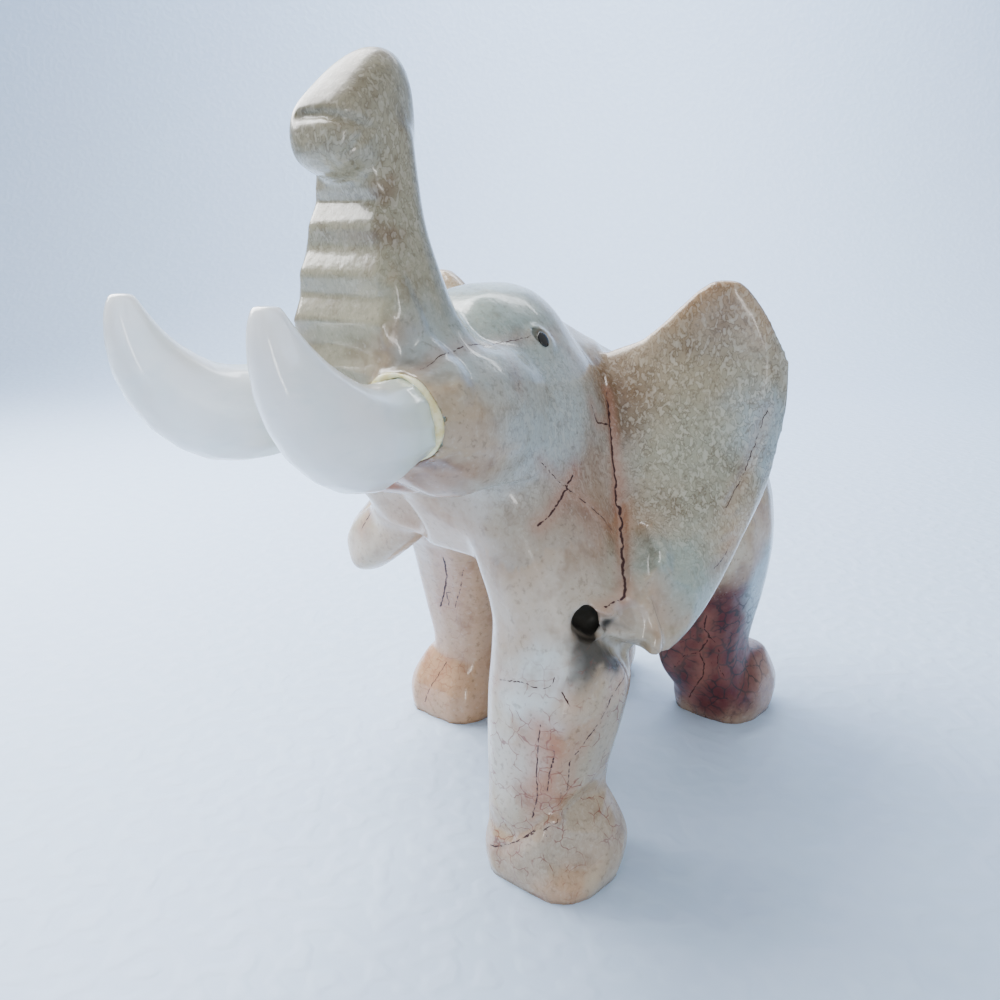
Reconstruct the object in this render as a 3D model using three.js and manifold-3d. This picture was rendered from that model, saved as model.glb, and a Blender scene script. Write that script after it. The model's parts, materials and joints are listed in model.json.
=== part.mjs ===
import * as THREE from "three";
import { mergeVertices } from "three/addons/utils/BufferGeometryUtils.js";
import Module from "manifold-3d";

const wasm = await Module();
wasm.setup();

// Driving dimensions, in millimetres.
const HEIGHT = 150;
const TUSK_BASE_DIAMETER = 19;
const TUSK_SOCKET_DEPTH = 3;
const TUSK_CLEARANCE = 0.3;
const EYE_DIAMETER = 3.2;
const EYE_SOCKET_DEPTH = 1.8;
const EYE_CLEARANCE = 0.3;
const RIB_DEPTH = 1.3;
const DRILL_DIAMETER = 5.5;
const DRILL_DEPTH = 6;

// The free form is given in units of a 150th of the height.
// The figurine faces -Y and its left side is +X.
// A station is [x, y, z, half width, half depth, tilt]. It holds a section's centre, then its
// half sizes, then its lean in degrees, where 90 is upright and none is level.
const UNIT = HEIGHT / 150;

// Round sections grow squarer as the power rises above 2. The front half faces -Y.
const roundSection = (frontPower, backPower) => (angle) => {
  const across = Math.cos(angle);
  const deep = Math.sin(angle);
  const power = 2 / (deep < 0 ? frontPower : backPower);
  return [Math.sign(across) * Math.abs(across) ** power, Math.sign(deep) * Math.abs(deep) ** power];
};

// The trunk's section has a flat front, a chamfer at each side of it and a round back.
const TRUNK_FACE_HALF_WIDTH = 0.86;
const TRUNK_FACE_TURN = 0.34;
const TRUNK_CORNER_TURN = 0.6;
const TRUNK_CHAMFER_POWER = 1.5;
function trunkSection(angle) {
  const fromFront = Math.atan2(Math.cos(angle), -Math.sin(angle)) / Math.PI;
  const side = Math.sign(fromFront);
  const turn = Math.abs(fromFront);
  if (turn <= TRUNK_FACE_TURN) {
    return [side * TRUNK_FACE_HALF_WIDTH * (turn / TRUNK_FACE_TURN), -1];
  }
  if (turn <= TRUNK_CORNER_TURN) {
    const share = (turn - TRUNK_FACE_TURN) / (TRUNK_CORNER_TURN - TRUNK_FACE_TURN);
    return [side * (1 - (1 - TRUNK_FACE_HALF_WIDTH) * (1 - share) ** TRUNK_CHAMFER_POWER), share - 1];
  }
  const back = ((turn - TRUNK_CORNER_TURN) / (1 - TRUNK_CORNER_TURN)) * (Math.PI / 2);
  return [side * Math.cos(back), Math.sin(back)];
}

const curve = (points) => new THREE.CatmullRomCurve3(points, false, "catmullrom", 0.5);

// A mirrored or reversed sweep is wound inside out, so its triangles are turned round.
function turnOutwards(geometry) {
  const index = geometry.index;
  const [a, b, c] = [new THREE.Vector3(), new THREE.Vector3(), new THREE.Vector3()];
  const position = geometry.attributes.position;
  let volume = 0;
  for (let i = 0; i < index.count; i += 3) {
    a.fromBufferAttribute(position, index.getX(i));
    b.fromBufferAttribute(position, index.getX(i + 1));
    c.fromBufferAttribute(position, index.getX(i + 2));
    volume += a.dot(b.cross(c));
  }
  if (volume < 0) {
    for (let i = 0; i < index.count; i += 3) {
      const first = index.getX(i);
      index.setX(i, index.getX(i + 2));
      index.setX(i + 2, first);
    }
  }
  return geometry;
}

// A capped tube. Each vertex is placed by its share of the length, its angle and whether it is
// on the rim.
function skin(sides, rows, place) {
  const geometry = new THREE.CylinderGeometry(1, 1, 1, sides, rows);
  const position = geometry.attributes.position;
  for (let i = 0; i < position.count; i += 1) {
    const [x, z] = [position.getX(i), position.getZ(i)];
    const onRim = Math.hypot(x, z) > 0.5;
    const step = Math.round((Math.atan2(x, z) * sides) / (2 * Math.PI));
    const side = THREE.MathUtils.euclideanModulo(step, sides);
    const angle = (side * 2 * Math.PI) / sides - Math.PI / 2;
    const row = Math.round((position.getY(i) + 0.5) * rows);
    const point = place(row / rows, angle, onRim);
    position.setXYZ(i, point.x, point.y, point.z);
  }
  geometry.scale(UNIT, UNIT, UNIT);
  return geometry;
}

function solid(geometry) {
  const bare = geometry.clone();
  bare.deleteAttribute("normal");
  bare.deleteAttribute("uv");
  const merged = turnOutwards(mergeVertices(bare));
  return new wasm.Manifold(new wasm.Mesh({
    numProp: 3,
    vertProperties: new Float32Array(merged.attributes.position.array),
    triVerts: new Uint32Array(merged.index.array),
  }));
}

// A sweep through stations, with `relief(point, section)` free to carve each rim point.
function loft(stations, sides, rowsPerSpan, section, relief = (point) => point) {
  const centres = curve(stations.map(([x, y, z]) => new THREE.Vector3(x, y, z)));
  const sizes = curve(
    stations.map(([, , , width, depth, tilt = 0]) => new THREE.Vector3(width, depth, tilt)),
  );
  return skin(sides, (stations.length - 1) * rowsPerSpan, (along, angle, onRim) => {
    const point = centres.getPoint(along);
    if (!onRim) {
      return point;
    }
    const size = sizes.getPoint(along);
    const [across, deep] = section(angle);
    const lean = THREE.MathUtils.degToRad(size.z);
    point.x += across * size.x;
    point.y += deep * size.y * Math.cos(lean);
    point.z += deep * size.y * Math.sin(lean);
    return relief(point, [across, deep]);
  });
}

const mirrored = (geometry) => geometry.clone().scale(-1, 1, 1);

// The torso and its spine, in upright sections from chest to rump.
function makeTorso() {
  const stations = [
    [0, 12, 72, 17, 12, 90],
    [0, 22, 73, 23, 17, 90],
    [0, 38, 72.5, 27, 21, 90],
    [0, 58, 70, 28, 22, 90],
    [0, 76, 68, 28, 22, 90],
    [0, 89, 66, 25, 20, 90],
    [0, 97, 64, 17.5, 14, 90],
    [0, 100.5, 63, 8, 6, 90],
  ];
  return loft(stations, 20, 2, roundSection(2.3, 2.2));
}

// The nape falls from the dome to the back, in upright sections.
function makeNeck() {
  const stations = [
    [0, 14, 86, 17, 24, 90],
    [0, 26, 84, 17, 22.8, 90],
    [0, 38, 80, 17.5, 21.5, 90],
    [0, 50, 76, 20, 20, 90],
    [0, 62, 72, 23, 19.5, 90],
  ];
  return loft(stations, 16, 2, roundSection(2.2, 2));
}

// The shoulders spread in level sections, from the nape down to the two front legs.
function makeShoulders() {
  const stations = [
    [0, 32, 98, 11, 13],
    [0, 26, 90, 19.5, 21],
    [0, 22, 82, 23.5, 25],
    [0, 20, 74, 26.5, 25],
    [0, 18.5, 66, 29.5, 20],
    [0, 18, 59, 32.5, 13],
  ];
  return loft(stations, 18, 2, roundSection(2.7, 2.4));
}

// The head in level sections, from the throat to the dome.
function makeHead() {
  const stations = [
    [0, 12, 60, 20, 12],
    [0, 10.5, 68, 25.6, 16],
    [0, 11.5, 76, 25.6, 21.5],
    [0, 12, 84, 24.8, 25],
    [0, 12.5, 92, 22.4, 26],
    [0, 13, 99, 17, 21.5],
    [0, 15, 105, 12.2, 16],
    [0, 16.5, 109, 7, 10],
    [0, 17, 110.6, 2.5, 4],
  ];
  return loft(stations, 22, 2, roundSection(4, 2.2));
}

// The trunk's stations stand one rib apart, so that every ridge falls on a row of vertices.
const TOP_RIDGE_Z = 121.4;
const RIB_PITCH = 7.8;
const ROWS_PER_RIB = 4;
const FLUTED_FACE = -0.95;
const FLUTES_ABOVE_TOP_RIDGE = 0.55;
function makeTrunk() {
  const level = (ridge) => TOP_RIDGE_Z + RIB_PITCH * ridge;
  const stations = [
    [0, -3, level(-5), 13, 14],
    [0, -6, level(-4), 15.5, 15],
    [0, -8.5, level(-3), 15.6, 14],
    [0, -11, level(-2), 14.6, 11.6],
    [0, -12.6, level(-1), 13, 9.2],
    [0, -13.3, level(0), 11, 7.3],
    [0, -13, level(1), 9.2, 6.5],
    [0, -14, level(2), 9, 6.6],
  ];
  const flute = (point, [, deep]) => {
    const ribs = (TOP_RIDGE_Z - point.z) / RIB_PITCH;
    if (deep > FLUTED_FACE || ribs < -FLUTES_ABOVE_TOP_RIDGE) {
      return point;
    }
    const fromRidge = Math.abs(ribs - Math.round(ribs));
    point.y += 2 * fromRidge * RIB_DEPTH;
    return point;
  };
  return loft(stations, 20, ROWS_PER_RIB, trunkSection, flute);
}

// The trunk's root flares at each side into the sheath below it.
function makeTrunkFlare() {
  const stations = [
    [7.5, -9.6, 108, 4.5, 6.5],
    [9.6, -10, 103, 6.8, 8.6],
    [12.4, -10.6, 98, 9.2, 10.6],
    [14.6, -11, 92, 10.4, 11.8],
    [14.6, -11.4, 86, 9.8, 11.4],
  ];
  return loft(stations, 12, 2, roundSection(2.6, 2.2));
}

// The trunk's tip curls forward over the ribbed face.
function makeTrunkTip() {
  const stations = [
    [0, -6.6, 137, 4, 7, 90],
    [0, -8.8, 138.2, 6.2, 10.8, 90],
    [0, -13, 138.3, 7.8, 11.7, 90],
    [0, -17.5, 137.6, 8.6, 10, 90],
    [0, -21.5, 136.4, 8.4, 7.8, 90],
    [0, -24.8, 135.6, 7, 5.6, 90],
    [0, -26.6, 135.2, 3.6, 2.6, 90],
  ];
  return loft(stations, 16, 2, roundSection(2.4, 2.4));
}

// The lower lip is a wedge below the tusks.
function makeJaw() {
  const stations = [
    [0, 8, 76, 15, 8, 90],
    [0, -4, 77.4, 14, 6, 90],
    [0, -13, 78.8, 12, 4.6, 90],
    [0, -20.5, 78.8, 9, 2.4, 90],
  ];
  return loft(stations, 12, 2, roundSection(3, 3));
}

// The cheek swells into a sheath round each tusk.
const TUSK_BASE = [16, -23, 89.5];
function makeSheath() {
  const [x, y, z] = TUSK_BASE;
  const stations = [
    [x - 7, y + 38, z - 5, 11, 13, 90],
    [x - 4.5, y + 26, z - 3, 13.5, 15, 90],
    [x - 2.5, y + 13, z - 1.5, 13, 13.5, 90],
    [x - 1, y + 4, z - 0.5, 11.6, 11.8, 90],
    [x, y, z, 10.2, 10.4, 90],
  ];
  return loft(stations, 14, 2, roundSection(2.2, 2.2));
}

// An ear is a blade in level slices. Each slice runs from inside the neck, round a fold, to the
// outer rim.
const EAR_SLICES = [
  { z: 44.6, inner: [37.5, 17.5], fold: [41, 15], outer: [42, 20], thickness: 5 },
  { z: 48, inner: [35.5, 17], fold: [42.6, 10.5], outer: [42.6, 27], thickness: 7 },
  { z: 54, inner: [32, 16], fold: [43.4, 11], outer: [43.2, 37], thickness: 7.5 },
  { z: 62, inner: [26, 20.5], fold: [39.5, 19.5], outer: [44, 45], thickness: 7.5 },
  { z: 70, inner: [19, 25.5], fold: [35.5, 26], outer: [46.6, 47.5], thickness: 7.5 },
  { z: 79, inner: [13, 31], fold: [32, 32], outer: [48.2, 48.5], thickness: 7.5 },
  { z: 88, inner: [9, 37], fold: [30, 37], outer: [49.2, 49.5], thickness: 7.5 },
  { z: 95, inner: [11, 41], fold: [30, 40], outer: [48.8, 49.5], thickness: 7 },
  { z: 99, inner: [21, 42], fold: [33, 41.6], outer: [47.6, 48.3], thickness: 6.5 },
  { z: 105, inner: [28, 42], fold: [36, 42], outer: [44.8, 46.4], thickness: 6 },
  { z: 109.5, inner: [33, 42], fold: [37.5, 42], outer: [42, 44.4], thickness: 5 },
  { z: 111.4, inner: [36, 42], fold: [38, 42], outer: [40, 42.8], thickness: 3.5 },
];
const EAR_RIM_START = 0.84;
const EAR_RIM_DEPTH = 0.15;
const EAR_RIM_ANGLE = 0.14;
const EAR_TAPER = 0.42;
const EAR_ROOT_FLATNESS = 1.1;
const EAR_FACE_FLATNESS = 2.7;

// The front and back of the blade are flat, and a bevel runs down the outer rim.
function bladeSection(angle) {
  if (Math.cos(angle) > Math.cos(EAR_RIM_ANGLE)) {
    return [1, EAR_RIM_DEPTH];
  }
  const across = THREE.MathUtils.clamp(EAR_ROOT_FLATNESS * Math.cos(angle), -1, EAR_RIM_START);
  const deep = THREE.MathUtils.clamp(EAR_FACE_FLATNESS * Math.sin(angle), -1, 1);
  return [across, deep];
}

// The left ear's lobe bulges further forward, over the leg that strides below it.
const LEFT_LOBE_REACH = 10;
const RIGHT_LOBE_REACH = 0;
const LOBE_BULGE_Z = 55.5;
const LOBE_BULGE_SPREAD = 5.5;
function makeEar(lobeReach) {
  const lobeShare = ({ z }) => Math.exp(-(((z - LOBE_BULGE_Z) / LOBE_BULGE_SPREAD) ** 2));
  const reached = (key) => (slice) => {
    const [x, y] = slice[key];
    const forward = key === "outer" ? 0 : lobeReach * lobeShare(slice);
    return new THREE.Vector3(x, y - forward, slice.z);
  };
  const edges = ["inner", "fold", "outer"].map((key) => curve(EAR_SLICES.map(reached(key))));
  const thickness = curve(EAR_SLICES.map((slice) => new THREE.Vector3(slice.thickness, 0, 0)));
  return skin(16, (EAR_SLICES.length - 1) * 2, (along, angle, onRim) => {
    const slice = new THREE.QuadraticBezierCurve3(...edges.map((edge) => edge.getPoint(along)));
    const [across, deep] = onRim ? bladeSection(angle) : [0, 0];
    const share = (across + 1) / 2;
    const point = slice.getPoint(share);
    const tangent = slice.getTangent(share);
    const half = (thickness.getPoint(along).x / 2) * (1 - EAR_TAPER * share ** 3);
    point.x += -tangent.y * deep * half;
    point.y += tangent.x * deep * half;
    return point;
  });
}

// A leg in level sections, from inside the body to its foot.
function makeLeg(stations) {
  return loft(stations, 14, 2, roundSection(2.5, 2.5));
}

// A foot is a flared block with a dip between its two front toes.
const TOE_DIP = 0.09;
const TOE_DIP_SPREAD = 0.28;
const FOOT_LEAN = 0.12;
const FOOT_PROFILE = [[0, 0.96], [4, 1.03], [8, 1.02], [12, 0.88], [16, 0.7]];
function makeFoot([x, y], [width, depth]) {
  const stations = FOOT_PROFILE.map(
    ([z, share]) => [x, y + z * FOOT_LEAN, z, width * share, depth * share],
  );
  const round = roundSection(2.7, 2.7);
  const toes = (angle) => {
    const fromFront = Math.atan2(Math.cos(angle), -Math.sin(angle));
    const dip = 1 - TOE_DIP * Math.exp(-((fromFront / TOE_DIP_SPREAD) ** 2));
    return round(angle).map((value) => value * dip);
  };
  return loft(stations, 14, 2, toes);
}

const LEFT_FRONT_FOOT = [28.6, 3.2];
const RIGHT_FRONT_FOOT = [-32.5, 41];
const LEFT_HIND_FOOT = [19.5, 87];
const RIGHT_HIND_FOOT = [-19.5, 80];

function makeLegs() {
  const leftFront = makeLeg([
    [12, 14, 84, 9, 14],
    [15, 11.5, 76, 10.8, 16],
    [18.8, 10, 68, 11.8, 15.6],
    [22.8, 9.2, 59, 12, 14.6],
    [26.6, 7.6, 50, 12.2, 13],
    [28.6, 4, 38, 12.6, 12.6],
    [27.6, 3, 26, 11.4, 11.4],
    [27, 2.8, 18, 10.6, 10.8],
    [28.4, 3, 8, 12, 11.6],
    [28.8, 3.2, 1, 11.6, 11],
  ]);
  const rightFront = makeLeg([
    [-11, 16, 84, 8, 14],
    [-13.8, 15, 76, 9.6, 15],
    [-17.6, 18, 68, 11.6, 15],
    [-20.4, 27, 59, 11.8, 14.5],
    [-24, 35, 50, 12, 13.6],
    [-28.2, 41, 38, 12, 12.4],
    [-30, 44, 26, 10.6, 11],
    [-30.5, 45, 16, 9.4, 10],
    [-32, 42, 8, 10.6, 11],
    [-32.5, 41, 1, 10.6, 10.6],
  ]);
  const leftHind = makeLeg([
    [11, 80, 72, 14, 16],
    [15, 79, 58, 15.5, 17],
    [18, 78.5, 45, 14, 15.5],
    [18.4, 79.5, 32, 11.6, 12.6],
    [17, 80, 20, 10.4, 10.8],
    [17.6, 82.5, 12, 10.6, 11.2],
    [19.5, 86, 6, 11.6, 11.8],
    [19.5, 86.5, 1, 11, 11],
  ]);
  const rightHind = makeLeg([
    [-11, 80, 72, 14, 16],
    [-15, 78, 58, 15.5, 17],
    [-18, 75, 45, 14, 15.5],
    [-18.4, 74, 32, 11.6, 12.6],
    [-17.6, 74, 20, 10.4, 10.8],
    [-18, 76, 12, 10.6, 11.2],
    [-19.5, 79, 6, 11.6, 11.8],
    [-19.5, 79.5, 1, 11, 11],
  ]);
  return [leftFront, rightFront, leftHind, rightHind];
}

function makeFeet() {
  return [
    makeFoot(LEFT_FRONT_FOOT, [12.8, 12]),
    makeFoot(RIGHT_FRONT_FOOT, [11.8, 11.4]),
    makeFoot(LEFT_HIND_FOOT, [11.8, 12.2]),
    makeFoot(RIGHT_HIND_FOOT, [11.8, 12.2]),
  ];
}

// The tail hangs flat against the rump and ends in a tuft.
function makeTail() {
  const stations = [
    [0, 90, 80, 4, 4],
    [0, 99.5, 75.5, 3.2, 3.6],
    [0.6, 102, 66, 2.8, 3],
    [1.2, 101.4, 56, 2.5, 2.8],
    [1.6, 99, 48, 3.4, 3],
    [1.6, 96.5, 42, 2, 2],
  ];
  return loft(stations, 8, 2, roundSection(2, 2));
}

// A tusk leaves its sheath forwards, dips and curls up to a blunt tip.
const LEFT_TUSK_SPLAY = 4.4;
const RIGHT_TUSK_SPLAY = 2;
function tuskAt(grow, splay) {
  const [x, y, z] = TUSK_BASE;
  const base = TUSK_BASE_DIAMETER / UNIT / 2 + grow;
  const stations = [
    [x, y + TUSK_SOCKET_DEPTH / UNIT + grow, z, base, base, 90],
    [x + splay * 0.15, y - 4, z - 0.2, base, base, 84],
    [x + splay * 0.5, y - 11, z + 0.6, base * 0.95, base * 0.97, 66],
    [x + splay * 0.85, y - 18.5, z + 4.2, base * 0.8, base * 0.84, 44],
    [x + splay, y - 24.5, z + 11, base * 0.58, base * 0.64, 22],
    [x + splay * 0.95, y - 27.4, z + 18, base * 0.38, base * 0.42, 6],
    [x + splay * 0.9, y - 27.8, z + 21.5, base * 0.24, base * 0.24, 0],
  ];
  return loft(stations, 14, 2, roundSection(2.1, 2.1));
}

// An eye is a short round plug. Its axis runs from side to side.
const EYE_PLACE = [15.5, 13.6, 100.8];
const EYE_SINK = 0.6;
function eyePlug(radius, length) {
  const [x, y, z] = EYE_PLACE;
  const plug = new THREE.CylinderGeometry(radius, radius, length, 16, 1);
  plug.rotateZ(-Math.PI / 2);
  plug.translate(x * UNIT - length / 2 + EYE_SINK, y * UNIT, z * UNIT);
  return plug;
}

// The carver's drill left a round pit where the left ear's lobe meets the leg.
const DRILL_PLACE = [35.6, 2.5, 52];
const DRILL_TURN = 40;
function makeDrillPit() {
  const radius = DRILL_DIAMETER / 2;
  const pit = new THREE.CylinderGeometry(radius, radius, DRILL_DEPTH * 2, 14, 1);
  const [x, y, z] = DRILL_PLACE;
  pit.rotateZ(THREE.MathUtils.degToRad(DRILL_TURN));
  pit.translate(x * UNIT, y * UNIT, z * UNIT);
  return pit;
}

const joinAll = (geometries) => geometries.map(solid).reduce((whole, next) => whole.add(next));

function makeBody() {
  const sheath = makeSheath();
  const flare = makeTrunkFlare();
  const block = joinAll([
    makeTorso(),
    makeShoulders(),
    makeNeck(),
    makeHead(),
    makeTrunk(),
    makeTrunkTip(),
    makeJaw(),
    flare,
    mirrored(flare),
    sheath,
    mirrored(sheath),
    makeEar(LEFT_LOBE_REACH),
    mirrored(makeEar(RIGHT_LOBE_REACH)),
    ...makeLegs(),
    ...makeFeet(),
    makeTail(),
  ]);
  const leftSocket = tuskAt(TUSK_CLEARANCE / UNIT, LEFT_TUSK_SPLAY);
  const rightSocket = mirrored(tuskAt(TUSK_CLEARANCE / UNIT, RIGHT_TUSK_SPLAY));
  const eyeSocket = eyePlug(EYE_DIAMETER / 2 + EYE_CLEARANCE, 2 * EYE_SOCKET_DEPTH);
  const cuts = joinAll([leftSocket, rightSocket, eyeSocket, mirrored(eyeSocket), makeDrillPit()]);
  return block.subtract(cuts);
}

function toGeometry(manifold) {
  const mesh = manifold.getMesh();
  const geometry = new THREE.BufferGeometry();
  geometry.setAttribute("position", new THREE.BufferAttribute(mesh.vertProperties, 3));
  geometry.setIndex(new THREE.BufferAttribute(mesh.triVerts, 1));
  return geometry;
}

const stone = (color) => new THREE.MeshStandardMaterial({ color, roughness: 0.25, metalness: 0 });

function named(name, geometry, material) {
  const mesh = new THREE.Mesh(geometry, material);
  mesh.name = name;
  return mesh;
}

const group = new THREE.Group();
const leftTusk = tuskAt(0, LEFT_TUSK_SPLAY);
const rightTusk = mirrored(tuskAt(0, RIGHT_TUSK_SPLAY));
const eye = eyePlug(EYE_DIAMETER / 2, EYE_SOCKET_DEPTH);
group.add(named("elephant_body", toGeometry(makeBody()), stone(0xc9b8aa)));
group.add(named("tusk_left", toGeometry(solid(leftTusk)), stone(0xe4ecec)));
group.add(named("tusk_right", toGeometry(solid(rightTusk)), stone(0xe4ecec)));
group.add(named("eye_left", toGeometry(solid(eye)), stone(0x0a0a0a)));
group.add(named("eye_right", toGeometry(solid(mirrored(eye))), stone(0x0a0a0a)));

// The origin is under the middle of the whole figurine, on the surface it stands on.
const extent = new THREE.Box3().setFromObject(group);
const middle = extent.getCenter(new THREE.Vector3());
group.position.set(-middle.x, -middle.y, -extent.min.z);

export default group;
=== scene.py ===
"""A carved onyx elephant with inset tusks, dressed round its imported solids."""

import json
import logging
import math
from dataclasses import dataclass, field
from enum import Enum
from typing import Any, Sequence, Union

import bpy
import numpy as np
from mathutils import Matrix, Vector

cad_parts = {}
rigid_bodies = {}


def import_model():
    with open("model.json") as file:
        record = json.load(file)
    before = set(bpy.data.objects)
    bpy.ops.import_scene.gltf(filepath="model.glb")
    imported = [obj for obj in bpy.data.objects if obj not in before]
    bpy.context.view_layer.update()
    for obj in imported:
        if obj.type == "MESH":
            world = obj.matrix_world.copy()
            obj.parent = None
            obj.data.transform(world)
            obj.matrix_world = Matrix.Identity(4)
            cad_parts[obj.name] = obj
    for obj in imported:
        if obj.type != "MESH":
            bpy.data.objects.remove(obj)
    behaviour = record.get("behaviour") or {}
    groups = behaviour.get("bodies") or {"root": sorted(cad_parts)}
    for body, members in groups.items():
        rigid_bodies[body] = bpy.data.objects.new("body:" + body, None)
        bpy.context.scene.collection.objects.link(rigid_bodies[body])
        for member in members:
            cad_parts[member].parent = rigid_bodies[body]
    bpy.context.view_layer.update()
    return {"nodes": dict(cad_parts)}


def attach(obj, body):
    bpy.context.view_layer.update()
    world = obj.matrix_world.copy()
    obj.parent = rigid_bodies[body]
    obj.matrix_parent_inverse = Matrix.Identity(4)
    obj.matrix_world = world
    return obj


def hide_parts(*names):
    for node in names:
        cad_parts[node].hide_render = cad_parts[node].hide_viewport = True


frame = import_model()

LOG = logging.getLogger("elephant")
MM = 0.001
FIGURE_SHIFT = (0.0, -25.316, 0.0)
TUSK_BASE = (16.0, -23.0, 89.5)
TUSK_RADIUS = 9.5
EYE_PLACE = (15.5, 13.6, 100.8)
STONE_DEPTH = 0.86
CRACK_REACH = 2.2
HALO_REACH = 3.2
HALO_WIDTH = 0.35
WEIGHT_STEPS = 20
EAR_BOTTOM = 44
EAR_FADE = 6
HOLD_SPREAD = 1.6
SEAT_REACH = 20.0
SEAT_SHARE = 0.2
LIFT_REACH = 11.5
BACKGROUND = (0.92, 0.96, 1.0, 1.0)
Point = tuple[float, float, float]
Colour = tuple[float, float, float, float]


def at(point: Point) -> Vector:
    """Move a point of the figurine into the row frame.

    Args:
        point: A place in millimetres, in the figurine's own frame.

    Returns:
        The same place in metres, in the row frame.
    """
    return Vector([(value + shift) * MM for value, shift in zip(point, FIGURE_SHIFT)])


def tint(*screen: int) -> Colour:
    """Turn a screen colour into a shader colour.

    Args:
        *screen: Red, green and blue from 0 to 255.

    Returns:
        The linear colour with full cover.
    """
    shares = [value / 255 for value in screen]
    linear = [share / 12.92 if share <= 0.04045 else ((share + 0.055) / 1.055) ** 2.4 for share in shares]
    return (linear[0], linear[1], linear[2], 1.0)


def stone(*screen: int, chroma: float = 1.9) -> Colour:
    """Turn a colour seen on the lit stone into the colour of the stone itself, deeper and fuller.

    Args:
        *screen: Red, green and blue from 0 to 255.
        chroma: How much the colour is strengthened.

    Returns:
        The linear colour with full cover.
    """
    seen = tint(*screen)[:3]
    grey = 0.3 * seen[0] + 0.6 * seen[1] + 0.1 * seen[2]
    full = [max(0.004, (grey + (value - grey) * chroma) * STONE_DEPTH - 0.02) for value in seen]
    return (full[0], full[1], full[2], 1.0)


class Side(Enum):
    """The figurine's own sides."""

    LEFT = 1
    RIGHT = -1

    @property
    def word(self) -> str:
        """The side's name as the solids spell it."""
        return self.name.lower()


# Shaders


@dataclass(frozen=True)
class Wire:
    """A shader output that takes part in arithmetic."""

    bench: "ShaderBench"
    socket: bpy.types.NodeSocket

    def _math(self, operation: str, left: "Value", right: "Value", clamp: bool = False) -> "Wire":
        """Join two values with one Math node."""
        settings = {"operation": operation, "use_clamp": clamp}
        return self.bench.node("ShaderNodeMath", settings, {0: left, 1: right})

    def __add__(self, other: "Value") -> "Wire":
        """Add."""
        return self._math("ADD", self, other)

    def __radd__(self, other: "Value") -> "Wire":
        """Add to a number."""
        return self._math("ADD", other, self)

    def __sub__(self, other: "Value") -> "Wire":
        """Subtract."""
        return self._math("SUBTRACT", self, other)

    def __rsub__(self, other: "Value") -> "Wire":
        """Subtract from a number."""
        return self._math("SUBTRACT", other, self)

    def __mul__(self, other: "Value") -> "Wire":
        """Multiply."""
        return self._math("MULTIPLY", self, other)

    def __rmul__(self, other: "Value") -> "Wire":
        """Multiply a number."""
        return self._math("MULTIPLY", other, self)

    def __truediv__(self, other: "Value") -> "Wire":
        """Divide."""
        return self._math("DIVIDE", self, other)

    def clamped(self) -> "Wire":
        """The value held between 0 and 1."""
        return self._math("ADD", self, 0.0, clamp=True)


Value = Union[Wire, float, int]
Input = Union[Wire, float, int, Sequence[float]]


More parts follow.
